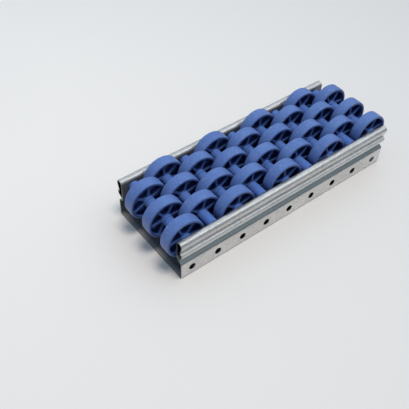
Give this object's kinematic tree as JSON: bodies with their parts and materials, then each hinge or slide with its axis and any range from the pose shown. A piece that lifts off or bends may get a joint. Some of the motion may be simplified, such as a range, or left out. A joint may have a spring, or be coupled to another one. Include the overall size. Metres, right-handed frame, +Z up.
{
  "type": "roller track",
  "caption": "Wide folded-steel roller track with staggered rows of free-turning spoked plastic wheels, on steel axles trapped in hollow side rails.",
  "frame": {"origin": "under the middle of the track, on the surface that it stands on", "axes": "+X along the track, +Y across it along the axles, +Z up"},
  "size_m": [0.2341, 0.086, 0.0499],
  "materials": {
    "zinc_sheet": "bright zinc-coated sheet with soft streaks along its length",
    "axle_steel": "plain drawn bar",
    "blue_plastic": "satin moulded plastic"
  },
  "bodies": {
    "track": {"channel": "zinc_sheet", "axle_1": "axle_steel", "axle_2": "axle_steel", "axle_3": "axle_steel", "axle_4": "axle_steel", "axle_5": "axle_steel", "axle_6": "axle_steel", "axle_7": "axle_steel", "axle_8": "axle_steel", "axle_9": "axle_steel"},
    "row_1_near": {"wheel_1_1": "blue_plastic"},
    "row_1_middle": {"wheel_1_2": "blue_plastic"},
    "row_1_far": {"wheel_1_3": "blue_plastic"},
    "row_2_near": {"wheel_2_1": "blue_plastic"},
    "row_2_middle": {"wheel_2_2": "blue_plastic"},
    "row_2_far": {"wheel_2_3": "blue_plastic"},
    "row_3_near": {"wheel_3_1": "blue_plastic"},
    "row_3_middle": {"wheel_3_2": "blue_plastic"},
    "row_3_far": {"wheel_3_3": "blue_plastic"},
    "row_4_near": {"wheel_4_1": "blue_plastic"},
    "row_4_middle": {"wheel_4_2": "blue_plastic"},
    "row_4_far": {"wheel_4_3": "blue_plastic"},
    "row_5_near": {"wheel_5_1": "blue_plastic"},
    "row_5_middle": {"wheel_5_2": "blue_plastic"},
    "row_5_far": {"wheel_5_3": "blue_plastic"},
    "row_6_near": {"wheel_6_1": "blue_plastic"},
    "row_6_middle": {"wheel_6_2": "blue_plastic"},
    "row_6_far": {"wheel_6_3": "blue_plastic"},
    "row_7_near": {"wheel_7_1": "blue_plastic"},
    "row_7_middle": {"wheel_7_2": "blue_plastic"},
    "row_7_far": {"wheel_7_3": "blue_plastic"},
    "row_8_near": {"wheel_8_1": "blue_plastic"},
    "row_8_middle": {"wheel_8_2": "blue_plastic"},
    "row_8_far": {"wheel_8_3": "blue_plastic"},
    "row_9_near": {"wheel_9_1": "blue_plastic"},
    "row_9_middle": {"wheel_9_2": "blue_plastic"},
    "row_9_far": {"wheel_9_3": "blue_plastic"}
  },
  "joints": [
    {"name": "spin_1_near", "type": "hinge", "parent": "track", "child": "row_1_near", "pos_m": [-0.1, -0.02971, 0.0328], "axis": [0, 1, 0], "continuous": true},
    {"name": "spin_1_middle", "type": "hinge", "parent": "track", "child": "row_1_middle", "pos_m": [-0.1, -0.00594, 0.0328], "axis": [0, 1, 0], "continuous": true},
    {"name": "spin_1_far", "type": "hinge", "parent": "track", "child": "row_1_far", "pos_m": [-0.1, 0.01783, 0.0328], "axis": [0, 1, 0], "continuous": true},
    {"name": "spin_2_near", "type": "hinge", "parent": "track", "child": "row_2_near", "pos_m": [-0.075, -0.01783, 0.0328], "axis": [0, 1, 0], "continuous": true},
    {"name": "spin_2_middle", "type": "hinge", "parent": "track", "child": "row_2_middle", "pos_m": [-0.075, 0.00594, 0.0328], "axis": [0, 1, 0], "continuous": true},
    {"name": "spin_2_far", "type": "hinge", "parent": "track", "child": "row_2_far", "pos_m": [-0.075, 0.02971, 0.0328], "axis": [0, 1, 0], "continuous": true},
    {"name": "spin_3_near", "type": "hinge", "parent": "track", "child": "row_3_near", "pos_m": [-0.05, -0.02971, 0.0328], "axis": [0, 1, 0], "continuous": true},
    {"name": "spin_3_middle", "type": "hinge", "parent": "track", "child": "row_3_middle", "pos_m": [-0.05, -0.00594, 0.0328], "axis": [0, 1, 0], "continuous": true},
    {"name": "spin_3_far", "type": "hinge", "parent": "track", "child": "row_3_far", "pos_m": [-0.05, 0.01783, 0.0328], "axis": [0, 1, 0], "continuous": true},
    {"name": "spin_4_near", "type": "hinge", "parent": "track", "child": "row_4_near", "pos_m": [-0.025, -0.01783, 0.0328], "axis": [0, 1, 0], "continuous": true},
    {"name": "spin_4_middle", "type": "hinge", "parent": "track", "child": "row_4_middle", "pos_m": [-0.025, 0.00594, 0.0328], "axis": [0, 1, 0], "continuous": true},
    {"name": "spin_4_far", "type": "hinge", "parent": "track", "child": "row_4_far", "pos_m": [-0.025, 0.02971, 0.0328], "axis": [0, 1, 0], "continuous": true},
    {"name": "spin_5_near", "type": "hinge", "parent": "track", "child": "row_5_near", "pos_m": [0, -0.02971, 0.0328], "axis": [0, 1, 0], "continuous": true},
    {"name": "spin_5_middle", "type": "hinge", "parent": "track", "child": "row_5_middle", "pos_m": [0, -0.00594, 0.0328], "axis": [0, 1, 0], "continuous": true},
    {"name": "spin_5_far", "type": "hinge", "parent": "track", "child": "row_5_far", "pos_m": [0, 0.01783, 0.0328], "axis": [0, 1, 0], "continuous": true},
    {"name": "spin_6_near", "type": "hinge", "parent": "track", "child": "row_6_near", "pos_m": [0.025, -0.01783, 0.0328], "axis": [0, 1, 0], "continuous": true},
    {"name": "spin_6_middle", "type": "hinge", "parent": "track", "child": "row_6_middle", "pos_m": [0.025, 0.00594, 0.0328], "axis": [0, 1, 0], "continuous": true},
    {"name": "spin_6_far", "type": "hinge", "parent": "track", "child": "row_6_far", "pos_m": [0.025, 0.02971, 0.0328], "axis": [0, 1, 0], "continuous": true},
    {"name": "spin_7_near", "type": "hinge", "parent": "track", "child": "row_7_near", "pos_m": [0.05, -0.02971, 0.0328], "axis": [0, 1, 0], "continuous": true},
    {"name": "spin_7_middle", "type": "hinge", "parent": "track", "child": "row_7_middle", "pos_m": [0.05, -0.00594, 0.0328], "axis": [0, 1, 0], "continuous": true},
    {"name": "spin_7_far", "type": "hinge", "parent": "track", "child": "row_7_far", "pos_m": [0.05, 0.01783, 0.0328], "axis": [0, 1, 0], "continuous": true},
    {"name": "spin_8_near", "type": "hinge", "parent": "track", "child": "row_8_near", "pos_m": [0.075, -0.01783, 0.0328], "axis": [0, 1, 0], "continuous": true},
    {"name": "spin_8_middle", "type": "hinge", "parent": "track", "child": "row_8_middle", "pos_m": [0.075, 0.00594, 0.0328], "axis": [0, 1, 0], "continuous": true},
    {"name": "spin_8_far", "type": "hinge", "parent": "track", "child": "row_8_far", "pos_m": [0.075, 0.02971, 0.0328], "axis": [0, 1, 0], "continuous": true},
    {"name": "spin_9_near", "type": "hinge", "parent": "track", "child": "row_9_near", "pos_m": [0.1, -0.02971, 0.0328], "axis": [0, 1, 0], "continuous": true},
    {"name": "spin_9_middle", "type": "hinge", "parent": "track", "child": "row_9_middle", "pos_m": [0.1, -0.00594, 0.0328], "axis": [0, 1, 0], "continuous": true},
    {"name": "spin_9_far", "type": "hinge", "parent": "track", "child": "row_9_far", "pos_m": [0.1, 0.01783, 0.0328], "axis": [0, 1, 0], "continuous": true}
  ]
}
